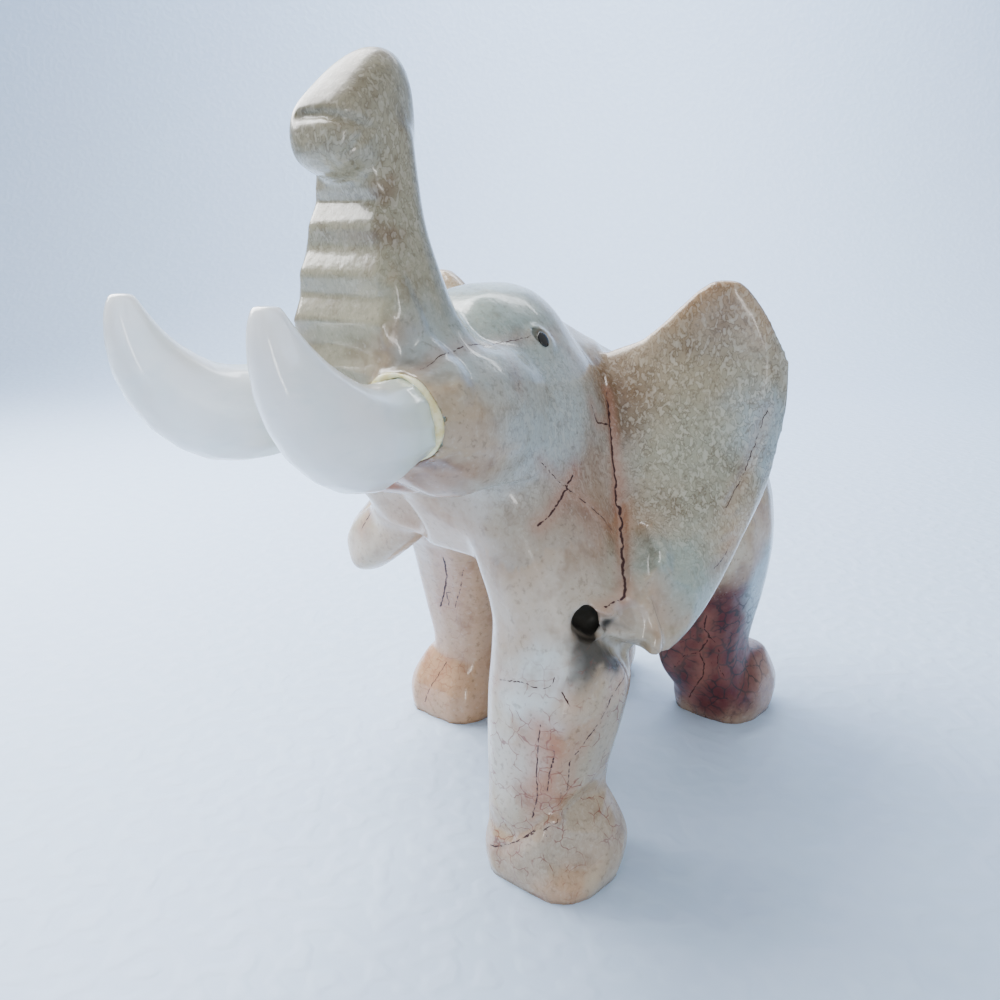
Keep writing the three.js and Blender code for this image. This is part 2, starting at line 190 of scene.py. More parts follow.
class ShaderBench:
    """Builds one node material."""

    def __init__(self, name: str) -> None:
        """Start an empty material.

        Args:
            name: The material's name.
        """
        self.material = bpy.data.materials.new(name)
        self.material.use_nodes = True
        self.tree = self.material.node_tree
        self.tree.nodes.clear()
        coordinates = self.node("ShaderNodeTexCoord", {}, {}, "Object")
        scaled = self.vector("SCALE", coordinates, scale=1 / MM)
        self.place = self.vector("SUBTRACT", scaled, FIGURE_SHIFT)

    def node(
        self,
        kind: str,
        settings: dict[str, Any],
        inputs: dict[Union[int, str], Input],
        output: Union[int, str] = 0,
    ) -> Wire:
        """Add a node.

        Args:
            kind: The node's type.
            settings: The node's own settings, where "stops" fills a colour ramp.
            inputs: Values or wires by socket.
            output: The socket to hand back.

        Returns:
            The wire of that output.
        """
        made = self.tree.nodes.new(kind)
        for key, value in settings.items():
            if key == "stops":
                self._fill_ramp(made.color_ramp, value)
            else:
                setattr(made, key, value)
        for key, value in inputs.items():
            if isinstance(value, Wire):
                self.tree.links.new(value.socket, made.inputs[key])
            else:
                made.inputs[key].default_value = value
        return Wire(self, made.outputs[output])

    @staticmethod
    def _fill_ramp(ramp: bpy.types.ColorRamp, stops: Sequence[tuple[float, Colour]]) -> None:
        """Give a colour ramp its stops.

        Args:
            ramp: The ramp.
            stops: Positions and colours, in order.
        """
        while len(ramp.elements) < len(stops):
            ramp.elements.new(1.0)
        for element, (position, colour) in zip(ramp.elements, stops):
            element.position = position
            element.color = colour

    def vector(self, operation: str, first: Input, second: Input = (0, 0, 0), scale: float = 1.0) -> Wire:
        """Work on vectors.

        Args:
            operation: The Vector Math operation.
            first: The first vector.
            second: The second vector, where the operation takes one.
            scale: The factor of a SCALE.

        Returns:
            The vector, or the number that a DISTANCE or DOT_PRODUCT gives.
        """
        inputs: dict[Union[int, str], Input] = {0: first}
        if operation == "SCALE":
            inputs["Scale"] = scale
        elif operation != "LENGTH":
            inputs[1] = second
        numeric = operation in ("DISTANCE", "DOT_PRODUCT", "LENGTH")
        return self.node("ShaderNodeVectorMath", {"operation": operation}, inputs, "Value" if numeric else "Vector")

    def ramp(self, value: Value, low: float, high: float, start: float = 0.0, end: float = 1.0) -> Wire:
        """Map a value smoothly between two limits.

        Args:
            value: What is mapped.
            low: Where the result is `start`.
            high: Where the result is `end`.
            start: The result at the low limit.
            end: The result at the high limit.

        Returns:
            The mapped wire.
        """
        inputs = {"Value": value, 1: low, 2: high, 3: start, 4: end}
        return self.node("ShaderNodeMapRange", {"interpolation_type": "SMOOTHSTEP"}, inputs)

    def mix(self, share: Value, under: Input, over: Input, blend: str = "MIX") -> Wire:
        """Lay one colour over another.

        Args:
            share: How much of the upper colour shows.
            under: The lower colour.
            over: The upper colour.
            blend: The way they mix.

        Returns:
            The mixed colour.
        """
        settings = {"data_type": "RGBA", "blend_type": blend}
        return self.node("ShaderNodeMix", settings, {0: share, 6: under, 7: over}, 2)

    def noise(
        self, size: float, detail: float = 2.0, roughness: float = 0.5, where: Union[Wire, None] = None
    ) -> Wire:
        """Cloudy noise.

        Args:
            size: The width of its features in millimetres.
            detail: How many finer layers it has.
            roughness: How strong they are.
            where: The places, if not the stone's own.

        Returns:
            The noise, about 0.5.
        """
        inputs = {"Vector": where or self.place, "Scale": 1 / size, "Detail": detail, "Roughness": roughness}
        return self.node("ShaderNodeTexNoise", {}, inputs, "Fac")

    def warped(self, where: Wire, size: float, reach: float) -> Wire:
        """Shift places by noise.

        Args:
            where: The places.
            size: The width of the noise's features in millimetres.
            reach: How far a place may move in millimetres.

        Returns:
            The shifted places.
        """
        inputs = {"Vector": where, "Scale": 1 / size, "Detail": 2.0}
        cloud = self.node("ShaderNodeTexNoise", {}, inputs, "Color")
        centred = self.vector("SUBTRACT", cloud, (0.5, 0.5, 0.5))
        return self.vector("ADD", where, self.vector("SCALE", centred, scale=2 * reach))

    def attribute(self, name: str, output: str = "Fac") -> Wire:
        """Read what the mesh stores under a name."""
        return self.node("ShaderNodeAttribute", {"attribute_name": name}, {}, output)

    def bump(self, height: Wire, depth: float, strength: float = 1.0) -> Wire:
        """A normal from a height that runs from 0 to 1.

        Args:
            height: The relief.
            depth: The relief's full height in millimetres.
            strength: The share of it that shows.

        Returns:
            The normal.
        """
        inputs = {"Height": height, "Distance": depth * MM, "Strength": strength}
        return self.node("ShaderNodeBump", {}, inputs)

    def finish(self, **inputs: Input) -> bpy.types.Material:
        """Close the material with a Principled shader.

        Args:
            **inputs: The shader's values, named as its sockets with underscores for spaces.

        Returns:
            The material.
        """
        named = {key.replace("_", " "): value for key, value in inputs.items()}
        shader = self.node("ShaderNodeBsdfPrincipled", {"subsurface_method": "RANDOM_WALK"}, named)
        self.node_out(shader)
        return self.material

    def node_out(self, shader: Wire) -> None:
        """Lead a shader to the material's output."""
        made = self.tree.nodes.new("ShaderNodeOutputMaterial")
        self.tree.links.new(shader.socket, made.inputs["Surface"])


def distance(points: np.ndarray, middle: Point) -> np.ndarray:
    """Measure points from a place.

    Args:
        points: The points in millimetres.
        middle: The place.

    Returns:
        Each point's distance.
    """
    return np.linalg.norm(points - middle, axis=1)


@dataclass(frozen=True)
class Crack:
    """A dark crack drawn on the stone, through points in the figurine's frame."""

    points: tuple[Point, ...]
    width: float


@dataclass(frozen=True)
class Zone:
    """A patch of colour round a point of the stone."""

    centre: Point
    radius: float
    colour: Colour = (1.0, 1.0, 1.0, 1.0)
    cover: float = 1.0
    soft: float = 0.5

    def weight(self, points: np.ndarray) -> np.ndarray:
        """Weigh how much each point belongs to the zone.

        Args:
            points: The points in millimetres.

        Returns:
            A weight from 0 to 1 for each.
        """
        away = distance(points, self.centre) / self.radius
        share = np.clip((1 + self.soft - away) / (2 * self.soft), 0, 1)
        return share * share * (3 - 2 * share)


@dataclass(frozen=True)
class Mask:
    """A part of the stone that the finish looks up by name."""

    name: str
    zones: tuple[Zone, ...]


SEAM: tuple[Point, ...] = (
    (19.6, 30.5, 89.3), (22.2, 28.1, 84.4), (24.4, 26, 79), (26.3, 24.4, 73.5),
    (29.9, 21, 66.9), (34.5, 15.2, 61.3), (39.6, 9, 56.5),
)

EAR_LINE: tuple[Point, ...] = ((46.8, 44.8, 87), (45.9, 43.1, 81.2), (45.2, 41.2, 75.5), (44, 36.8, 68.7))

CRACKS: tuple[Crack, ...] = (
    Crack(SEAM, 0.36),
    Crack(((22.6, 20.7, 88.4), (22.9, 22, 84.9), (22.5, 26.4, 83.8)), 0.22),
    Crack(((25.3, 11.8, 77.3), (26, 8.5, 75.4), (26.9, 5.5, 73.5), (27.4, 2.1, 71.4), (27, -0.8, 70.1)), 0.28),
    Crack(((25, 2.3, 81), (26.1, 8.3, 75.1), (29, 13.5, 70.3), (30.6, 17, 66)), 0.16),
    Crack(((18, -21, 98), (18.3, -16, 100.5), (17.8, -11.8, 101.5), (17.2, -7.6, 101.8),
           (15.1, 2.7, 100.9), (15.2, 6.9, 101.3), (15, 11.2, 101.5)), 0.17),
    Crack(((15.1, 15.5, 101.3), (14.9, 18.6, 101.2)), 0.16),
    Crack(((18.2, 0.7, 100.3), (22.1, -1.5, 97.3), (24.2, -2.9, 94.3)), 0.1),
    Crack(EAR_LINE, 0.13),
    Crack(((45.3, 36.1, 61.4), (45.3, 33.1, 59.1), (45.2, 29.7, 57.9)), 0.14),
    Crack(((36.4, 3.7, 54.7), (38.7, 7.7, 56.4)), 0.22),
    Crack(((23.4, -7, 41.5), (28.5, -7.3, 42.8), (32.6, -6.7, 42.5), (34.7, -6, 43.5), (34.5, -5, 45.8)), 0.16),
    Crack(((36.2, -5.1, 42.5), (37.8, -4.8, 40.2)), 0.2),
    Crack(((33.6, -7.8, 36.3), (33.2, -7.9, 32.3), (32.6, -7.6, 25.9), (32.6, -7.2, 20.6),
           (31.4, -7.5, 16.1), (30.4, -7.9, 12.7), (27.7, -8.4, 10.1), (24.2, -7.9, 7.2), (20, -8, 6)), 0.2),
    Crack(((35.6, -6.9, 32.7), (35.9, -6.4, 30.7), (35, -6.6, 27.4), (34.2, -6.3, 22.9)), 0.2),
    Crack(((40.2, 9.6, 42.8), (40.8, 3.1, 39.4), (39.9, -1.4, 34), (37.9, -4.4, 29.5),
           (36.6, -3.5, 22.6)), 0.15),
    Crack(((34.5, -6.6, 13.2), (36.1, -3.7, 17.9), (36, -4.9, 23)), 0.12),
    Crack(((24.2, -7.9, 7.2), (31.4, -7.7, 13.1), (36.2, -4.7, 15.9)), 0.13),
    Crack(((-20.6, 23.6, 47.8), (-23, 27.3, 41.6), (-27.6, 30.6, 33.7), (-29.7, 31.6, 30.5)), 0.3),
    Crack(((-18.4, 28, 43.7), (-21.6, 30.3, 37.3), (-24.9, 31.9, 31.6)), 0.15),
    Crack(((-28, 52, 82), (-30, 57, 75), (-29, 61, 68), (-31, 66, 60), (-28, 69, 52)), 0.18),
    Crack(((-29, 61, 68), (-28, 67, 71), (-27, 74, 70)), 0.12),
    Crack(((-20, 88, 72), (-24, 85, 62), (-21, 82, 52)), 0.15),
    Crack(((2, 56, 100), (5, 66, 98), (-2, 78, 96), (-1, 88, 90)), 0.14),
    Crack(((-46, 42, 98), (-47, 45, 88), (-46, 42, 78), (-45, 38, 70)), 0.14),
    Crack(((-42, 20, 38), (-43, 23, 29), (-41, 25, 19)), 0.16),
    Crack(((-30, 84, 42), (-31, 88, 30), (-28, 91, 18)), 0.15),
    Crack(((28, 62, 82), (30, 68, 72), (29, 73, 62), (27, 80, 54)), 0.15),
    Crack(((-30.6, 34.4, 14.5), (-32.5, 32.1, 9.8), (-34.9, 30.8, 3.3)), 0.18),
    Crack(((-28, 9, 60), (-31.1, 12.7, 53.1), (-35.9, 15.1, 45.1)), 0.22),
    Crack(((23.9, 68, 31.2), (22.6, 69, 28.2), (24, 69.8, 25.2), (21.3, 69.8, 20.5), (22.6, 70.6, 17.2),
           (21.9, 71.5, 14), (19.2, 72.6, 9.4), (16, 74.8, 4.2)), 0.24),
    Crack(((21.3, 69.8, 20.5), (17.6, 69.9, 19), (14.4, 71, 14.4)), 0.14),
    Crack(((24, 69.8, 25.2), (26.4, 71.4, 21.6), (25.2, 72.4, 17.6), (27, 75, 12.4)), 0.13),
    Crack(((22.6, 69, 28.2), (19.4, 68.9, 24.2), (16.4, 69.6, 22)), 0.12),
)

CREAM = stone(196, 188, 176)
BEIGE = stone(176, 162, 148)
BROWN = stone(134, 116, 102)
UMBER = stone(112, 98, 88)
DRAB = stone(150, 147, 136)
SILVER = stone(176, 184, 186)
SAGE = stone(160, 168, 164)
CHALK = stone(206, 202, 196)
TAN = stone(184, 162, 146)
ROSE = stone(158, 124, 108)
RUST = tint(112, 42, 28)
WINE = stone(88, 53, 43, chroma=1.7)
# Near-black used as painted shade in the drilled pit, and partly as dark mineral, partly as painted shade, under the
# near ear's lobe.
SHADE_AND_MINERAL_BLACK = tint(26, 26, 22)
CRACK_RED = tint(50, 11, 8)
SCAB = tint(22, 6, 5)
BLUSH = stone(178, 134, 120, chroma=1.4)

ZONES: tuple[Zone, ...] = (
    Zone((0, -14, 128), 32, DRAB, 0.9),
    # Painted shade: a darker patch on the trunk tip's top, offsetting the light that falls on it there.
    Zone((-2, -22, 143), 8, stone(104, 100, 88), 0.8),
    Zone((4, -20, 110), 15, stone(154, 152, 140), 0.8),
    Zone((11, -15, 118), 7, DRAB, 0.8),
    Zone((9.6, -18, 126), 2.6, UMBER, 0.6),
    Zone((10.4, -19, 119), 2.8, UMBER, 0.6),
    Zone((11.6, -20, 111), 2.4, BROWN, 0.5),
    Zone((14, -15, 106), 6, DRAB, 0.7),
    Zone((13.5, -19, 101), 4.5, stone(138, 112, 94), 0.6),
    # Painted highlight: a pale silver patch on the brow, where the silvery glints fall.
    Zone((18, -14, 100), 8, SILVER, 0.7),
    Zone((20, 6, 92), 19, SILVER, 0.8),
    Zone((6, 8, 108), 16, SAGE, 0.85),
    Zone((24, -17, 88), 8, BEIGE, 0.85),
    Zone((15, -18, 79), 9.5, tint(142, 100, 66), 0.92),
    Zone((10, -23, 77), 4, stone(140, 92, 68), 0.6),
    Zone((22.4, -22, 83.6), 3.4, tint(92, 50, 30), 0.85),
    Zone((0, 0, 62), 22, stone(194, 178, 166), 0.9),
    Zone((29, 6, 66), 12, BROWN, 0.7),
    Zone((28, 16, 74), 12, stone(148, 130, 120), 0.8),
    Zone((22, 33, 88), 10, UMBER, 0.95),
    Zone((34, 41, 106), 10, stone(146, 130, 116), 0.85),
    Zone((40, 42, 84), 17, DRAB, 0.9),
    Zone((36, 34, 74), 12, stone(160, 161, 152), 0.8),
    Zone((48, 46, 82), 9, SILVER, 0.9),
    Zone((45, 54, 100), 7, SILVER, 0.8),
    Zone((42, 22, 56), 12, SAGE, 0.9),
    Zone((43, 14, 51), 6, TAN, 0.7),
    Zone((28, 4, 52), 13, CHALK, 0.8),
    Zone((33, -6, 37), 5, ROSE, 0.8),
    Zone((33.5, -6, 30), 5.5, ROSE, 0.9),
    Zone((33, -7, 23), 5, ROSE, 0.7),
    Zone((24, -7, 28), 8, CHALK, 0.9),
    Zone((40, 4, 30), 10, stone(172, 164, 152), 0.9),
    Zone((30, -6, 44), 7, stone(222, 226, 226), 0.95),
    Zone((33, 2, 8), 12, stone(176, 168, 158), 0.8),
    Zone((36, -4, 2), 6, TAN, 0.8),
    Zone((-28, 38, 24), 34, TAN, 0.95, 0.25),
    Zone((-36, 14, 52), 10, CREAM, 0.8),
    Zone((-22, 28, 42), 13, TAN, 0.9),
    Zone((-28, 60, 70), 18, stone(166, 146, 132), 0.7),
    Zone((-24, 74, 92), 13, SAGE, 0.6),
    Zone((-44, 44, 96), 11, BROWN, 0.6),
    Zone((18, 74, 22), 24, WINE, 0.97, 0.22),
    Zone((32, 88, 38), 13, stone(160, 172, 178), 0.95, 0.25),
    Zone((27, 97, 6), 13, stone(160, 142, 134), 0.85),
    Zone((-20, 84, 20), 20, stone(168, 150, 138), 0.8),
    Zone((0, 70, 92), 28, stone(156, 154, 146), 0.8),
    Zone((-24, 50, 80), 20, stone(178, 172, 166), 0.8),
    Zone((20, 92, 74), 18, stone(158, 158, 152), 0.8),
)

MASKS: tuple[Mask, ...] = (
    # The dark patch under the near ear's lobe, by the drilled pit: partly dark mineral, partly painted shade below
    # the lobe's edge.
    Mask("soot", (Zone((37.8, 0.8, 47.4), 5.4), Zone((38.9, 3.4, 44.8), 4.8), Zone((36.6, -1.2, 50), 3.4))),
    # Painted shade: the drilled pit is coloured near-black where its hollow lies in shade.
    Mask("pit", (Zone((32.8, 7, 51.8), 4, soft=0.3),)),
    Mask("dull", (
        Zone((38, 42, 86), 15), Zone((-38, 42, 86), 15), Zone((2, -20, 143), 9, cover=0.7),
        Zone((24, 4, 88), 10, cover=0.5), Zone((33.8, 5, 53), 5, cover=1.2),
        Zone((38.2, 2, 48), 5, cover=0.8),
        Zone((18, 72, 20), 20, cover=0.8, soft=0.25),
        Zone((29, -3, 62), 8), Zone((32, -5, 53), 8), Zone((34, -6, 44), 7),
    )),
    Mask("grain", (
        Zone((42, 42, 84), 30), Zone((-42, 42, 84), 30), Zone((22, 6, 88), 18, cover=0.6),
        Zone((0, -14, 130), 24, cover=0.7), Zone((0, 60, 90), 40, cover=0.6),
        Zone((30, 0, 12), 14, cover=0.35),
    )),
    Mask("hind_net", (Zone((18, 72, 20), 20, soft=0.25),)),
    Mask("leg_net", (
        Zone((30, 0, 24), 22, soft=0.3), Zone((-34, 20, 20), 20, cover=0.6),
        Zone((-22, 84, 20), 20, cover=0.6), Zone((-30, 60, 66), 14, cover=0.5),
    )),
)


@dataclass(frozen=True)
class OnyxFinish:
    """Polished onyx: cloudy cream and beige, flaky crystals, dark red cracks."""

    roughness: float = 0.16
    coat: float = 0.35
    coat_roughness: float = 0.04
    subsurface: float = 0.16
    depth_mm: float = 3.0

    def make(self) -> bpy.types.Material:
        """Build the stone.

        Returns:
            The material.
        """
        bench = ShaderBench("banded_onyx")
        bent = bench.warped(bench.place, 3.4, 1.5)
        patches = bench.noise(6.0, 3.0, 0.65)
        fine = bench.noise(1.15, 2.0, 0.6)
        colour = self._clouds(bench, patches)
        colour = self._grains(bench, colour, patches)
        colour = self._flecks(bench, colour, fine, patches)
        # Darken the patch under the lobe: partly dark mineral, partly painted shade.
        colour = bench.mix(bench.attribute("soot") * bench.ramp(patches, 0.14, 0.44) * 0.92, colour, SHADE_AND_MINERAL_BLACK)
        # Painted shade: the pit turns almost black, and its roughness is raised so that it shows no highlight.
        pit = bench.attribute("pit")
        colour = bench.mix(pit * 0.97, colour, SHADE_AND_MINERAL_BLACK)
        colour = self._nets(bench, colour, bent, patches)
        cracks = self._cracks(bench)
        colour = bench.mix(bench.attribute("crack_halo") * 0.45, colour, BLUSH)
        colour = bench.mix(cracks, colour, CRACK_RED)
        dull = bench.attribute("dull")
        return bench.finish(
            Base_Color=colour,
            Roughness=self.roughness + 0.12 * fine + 0.45 * cracks + 0.26 * dull + 0.4 * pit,
            Normal=self._relief(bench),
            Coat_Weight=self.coat * (1 - 0.85 * dull) * (1 - cracks),
            Coat_Roughness=self.coat_roughness,
            Subsurface_Weight=self.subsurface,
            Subsurface_Radius=(1.0, 0.7, 0.5),
            Subsurface_Scale=self.depth_mm * MM,
            IOR=1.5,
        )

    def _clouds(self, bench: ShaderBench, patches: Wire) -> Wire:
        """Lay the cloudy ground under the zones of colour that the mesh carries.

        Args:
            bench: The material being built.
            patches: Noise that breaks the zones' edges.

        Returns:
            The ground's colour.
        """
        cloud = bench.ramp(bench.noise(18.0, 3.0, 0.6), 0.35, 0.65)
        ground = bench.mix(cloud, CREAM, BEIGE)
        ragged = (bench.attribute("zone_cover") * (0.8 + 0.4 * patches)).clamped()
        colour = bench.mix(ragged, ground, bench.attribute("zone_colour", "Color"))
        return bench.mix(bench.ramp(patches, 0.5, 0.72) * 0.6, colour, tint(196, 176, 158), "MULTIPLY")

    def _grains(self, bench: ShaderBench, colour: Wire, patches: Wire) -> Wire:
        """Draw worm-like pale grains with brown outlines.

        Args:
            bench: The material being built.
            colour: The colour so far.
            patches: Noise that varies their strength.

        Returns:
            The new colour.
        """
        stretched = bench.vector("MULTIPLY", bench.place, (1.0, 1.0, 0.62))
        worm = bench.noise(0.78, 1.0, 0.5, bench.warped(stretched, 1.4, 0.5))
        strength = bench.attribute("grain") * bench.ramp(patches, 0.3, 0.6, 0.45, 1.0)
        outline = (worm - 0.5) * (worm - 0.5)
        colour = bench.mix(bench.ramp(worm, 0.5, 0.66) * strength * 0.3, colour, tint(206, 200, 186))
        edges = bench.ramp(outline, 0.003, 0.0002) * strength * 0.5
        return bench.mix(edges, colour, tint(156, 134, 116), "MULTIPLY")

    def _flecks(self, bench: ShaderBench, colour: Wire, fine: Wire, patches: Wire) -> Wire:
        """Scatter small grey-brown flecks and pale glints over the stone.

        Args:
            bench: The material being built.
            colour: The colour so far.
            fine: The noise that they follow.
            patches: Noise that gathers them.

        Returns:
            The new colour.
        """
        patchy = bench.ramp(patches, 0.62, 0.4)
        colour = bench.mix(bench.ramp(fine, 0.52, 0.72) * patchy * 0.5, colour, tint(158, 146, 134), "MULTIPLY")
        glints = bench.ramp(fine, 0.42, 0.28) * (1 - bench.attribute("hind_net")) * 0.12
        return bench.mix(glints, colour, tint(216, 212, 200))

    def _nets(self, bench: ShaderBench, colour: Wire, bent: Wire, patches: Wire) -> Wire:
        """Draw the red hairlines of the near leg and the dark net on the left hind leg.

        Args:
            bench: The material being built.
            colour: The colour so far.
            bent: The places, shifted so that no line runs straight.
            patches: Noise that leaves stretches out.

        Returns:
            The new colour.
        """
        edge = bench.node(
            "ShaderNodeTexVoronoi", {"feature": "DISTANCE_TO_EDGE"}, {"Vector": bent, "Scale": 0.3}, "Distance")
        leg = bench.attribute("leg_net") * bench.ramp(patches, 0.44, 0.54)
        hind = bench.attribute("hind_net")
        colour = bench.mix(bench.ramp(edge, 0.09, 0.03) * hind * bench.ramp(patches, 0.36, 0.46) * 0.85, colour, SCAB)
        return bench.mix(bench.ramp(edge, 0.035, 0.012) * leg * 0.7, colour, RUST)

    def _cracks(self, bench: ShaderBench) -> Wire:
        """Draw the named cracks from the offsets that the mesh carries.

        Args:
            bench: The material being built.

        Returns:
            A mask that is 1 on a crack.
        """
        shiver = bench.node("ShaderNodeTexNoise", {}, {"Vector": bench.place, "Scale": 0.7, "Detail": 2.0}, "Color")
        shiver = bench.vector("SCALE", bench.vector("SUBTRACT", shiver, (0.5, 0.5, 0.5)), scale=0.8)
        offset = bench.vector("ADD", bench.attribute("crack_offset", "Vector"), shiver)
        width = bench.attribute("crack_width") * (0.42 + 0.8 * bench.noise(2.4, 1.0))
        near = bench.ramp(bench.attribute("crack_near"), CRACK_REACH, 1.6)
        return bench.ramp(bench.vector("LENGTH", offset) / width, 0.6, 1.2, 1.0, 0.0) * near

    def _relief(self, bench: ShaderBench) -> Wire:
        """Leave the polish slightly wavy, so that glints break up."""
        return bench.bump(bench.noise(2.6, 2.0, 0.55), 0.35, 0.35)


@dataclass(frozen=True)
class MilkFinish:
    """Milky onyx that light passes into, greener towards the glued base."""

    roughness: float = 0.2
    subsurface: float = 0.7
    passing: float = 0.34
    depth_mm: float = 9.0

    def make(self) -> bpy.types.Material:
        """Build the milky stone.

        Returns:
            The material.
        """
        bench = ShaderBench("milky_onyx")
        along = bench.vector("DOT_PRODUCT", bench.place, (0.0, 1.0, 0.0))
        base = bench.ramp(along, -36.0, -23.0)
        cloud = bench.ramp(bench.noise(9.0, 3.0), 0.35, 0.7)
        colour = bench.mix(cloud, tint(249, 252, 254), tint(238, 244, 248))
        colour = bench.mix(base * 0.8, colour, tint(228, 240, 224))
        layers = bench.vector("MULTIPLY", bench.place, (0.4, 0.4, 1.0))
        band = bench.ramp(bench.noise(3.0, 3.0, 0.6, layers), 0.5, 0.75)
        colour = bench.mix(band * 0.3, colour, tint(214, 224, 232))
        return bench.finish(
            Base_Color=colour,
            Roughness=self.roughness + 0.05 * cloud,
            Normal=bench.bump(bench.noise(6.0, 2.0), 0.3, 0.3),
            Subsurface_Weight=self.subsurface,
            Subsurface_Radius=(1.0, 1.0, 1.0),
            Subsurface_Scale=self.depth_mm * MM,
            Transmission_Weight=self.passing,
            Coat_Weight=0.6,
            Coat_Roughness=0.04,
            IOR=1.5,
        )


@dataclass(frozen=True)
class DotFinish:
    """Black resin with a hard gloss."""

    roughness: float = 0.12

    def make(self) -> bpy.types.Material:
        """Build the black.

        Returns:
            The material.
        """
        bench = ShaderBench("black_resin")
        grain = bench.noise(0.5, 2.0)
        return bench.finish(
            Base_Color=bench.mix(grain, tint(6, 6, 7), tint(16, 14, 14)),
            Roughness=self.roughness + 0.08 * grain,
            Normal=bench.bump(grain, 0.05, 0.3),
            IOR=1.5,
        )


@dataclass(frozen=True)
class GlueFinish:
    """Old amber glue."""

    roughness: float = 0.22

    def make(self) -> bpy.types.Material:
        """Build the glue.

        Returns:
            The material.
        """
        bench = ShaderBench("amber_glue")
        cloud = bench.ramp(bench.noise(2.5, 3.0), 0.3, 0.7)
        return bench.finish(
            Base_Color=bench.mix(cloud, tint(206, 190, 130), tint(226, 222, 190)),
            Roughness=self.roughness + 0.1 * cloud,
            Normal=bench.bump(bench.noise(1.2, 2.0), 0.1, 0.4),
            Subsurface_Weight=0.4,
            Subsurface_Radius=(1.0, 0.8, 0.3),
            Subsurface_Scale=2.0 * MM,
            IOR=1.5,
        )


@dataclass(frozen=True)
class BoardFinish:
    """The pale foam board that the figurine stands on."""

    roughness: float = 0.6

    def make(self) -> bpy.types.Material:
        """Build the board.

        Returns:
            The material.
        """
        bench = ShaderBench("pale_board")
        beads = bench.noise(4.5, 0.0)
        return bench.finish(
            Base_Color=bench.mix(beads, tint(186, 208, 236), tint(196, 216, 242)),
            Roughness=self.roughness,
            Normal=bench.bump(bench.ramp(beads, 0.42, 0.7), 0.6, 0.3),
        )


# Meshes


def alone(piece: bpy.types.Object) -> None:
    """Select one object and make it active.

    Args:
        piece: The object.
    """
    bpy.ops.object.select_all(action="DESELECT")
    piece.select_set(True)
    bpy.context.view_layer.objects.active = piece


def just_added(name: str) -> bpy.types.Object:
    """Name the primitive that was just added and fix its place in its mesh.

    Args:
        name: The object's name.

    Returns:
        The object.
    """
    piece = bpy.context.active_object
    piece.name = name
    bpy.ops.object.transform_apply(location=True, rotation=True, scale=True)
    return piece


def copied(node: str, name: str) -> bpy.types.Object:
    """Copy a solid and join its loose triangles.

    Args:
        node: The solid's name.
        name: The copy's name.

    Returns:
        The copy.
    """
    source = frame["nodes"][node]
    piece = bpy.data.objects.new(name, source.data.copy())
    bpy.context.scene.collection.objects.link(piece)
    piece.data.materials.clear()
    alone(piece)
    bpy.ops.object.mode_set(mode="EDIT")
    bpy.ops.mesh.select_all(action="SELECT")
    bpy.ops.mesh.remove_doubles(threshold=0.001 * MM)
    bpy.ops.object.mode_set(mode="OBJECT")
    return piece


def applied(piece: bpy.types.Object, kind: str, **settings: Any) -> None:
    """Add a modifier and apply it.

    Args:
        piece: The object.
        kind: The modifier's type.
        **settings: The modifier's settings.
    """
    alone(piece)
    modifier = piece.modifiers.new(kind.lower(), kind)
    for key, value in settings.items():
        setattr(modifier, key, value)
    bpy.ops.object.modifier_apply(modifier=modifier.name)


def dressed(piece: bpy.types.Object, material: bpy.types.Material) -> None:
    """Shade a piece smoothly and give it its material.

    Args:
        piece: The object.
        material: The material.
    """
    alone(piece)
    bpy.ops.object.shade_smooth()
    piece.data.materials.append(material)


def points_of(piece: bpy.types.Object) -> np.ndarray:
    """Read a mesh's points.

    Args:
        piece: The object.

    Returns:
        Its points in millimetres, in the figurine's frame.
    """
    flat = np.empty(len(piece.data.vertices) * 3)
    piece.data.vertices.foreach_get("co", flat)
    return flat.reshape(-1, 3) / MM - np.array(FIGURE_SHIFT)


def normals_of(piece: bpy.types.Object) -> np.ndarray:
    """Read a mesh's normals.

    Args:
        piece: The object.

    Returns:
        The normal at each point.
    """
    flat = np.empty(len(piece.data.vertices) * 3)
    piece.data.vertices.foreach_get("normal", flat)
    return flat.reshape(-1, 3)


def put_points(piece: bpy.types.Object, points: np.ndarray) -> None:
    """Write points in millimetres of the figurine's frame back to the mesh."""
    piece.data.vertices.foreach_set("co", ((points + np.array(FIGURE_SHIFT)) * MM).ravel())
    piece.data.update()


def fade(distance: np.ndarray, radius: float) -> np.ndarray:
    """A soft weight: 1 at the middle and 0 from the radius on."""
    share = np.clip(1 - distance / radius, 0, 1)
    return share * share * (3 - 2 * share)


def offsets_from(points: np.ndarray, path: Sequence[Point]) -> tuple[np.ndarray, np.ndarray]:
    """Measure points against a chain of stretches.

    Args:
        points: The points in millimetres.
        path: The chain's corners.

    Returns:
        Each point's offset from the nearest place on the chain, and that offset's length.
    """
    nearest = np.full(len(points), np.inf)
    offsets = np.zeros_like(points)
    for start, end in zip(path, path[1:]):
        run = np.subtract(end, start)
        share = np.clip((points - start) @ run / (run @ run), 0, 1)
        away = points - (start + share[:, None] * run)
        length = np.linalg.norm(away, axis=1)
        closer = length < nearest
        nearest[closer] = length[closer]
        offsets[closer] = away[closer]
    return offsets, nearest


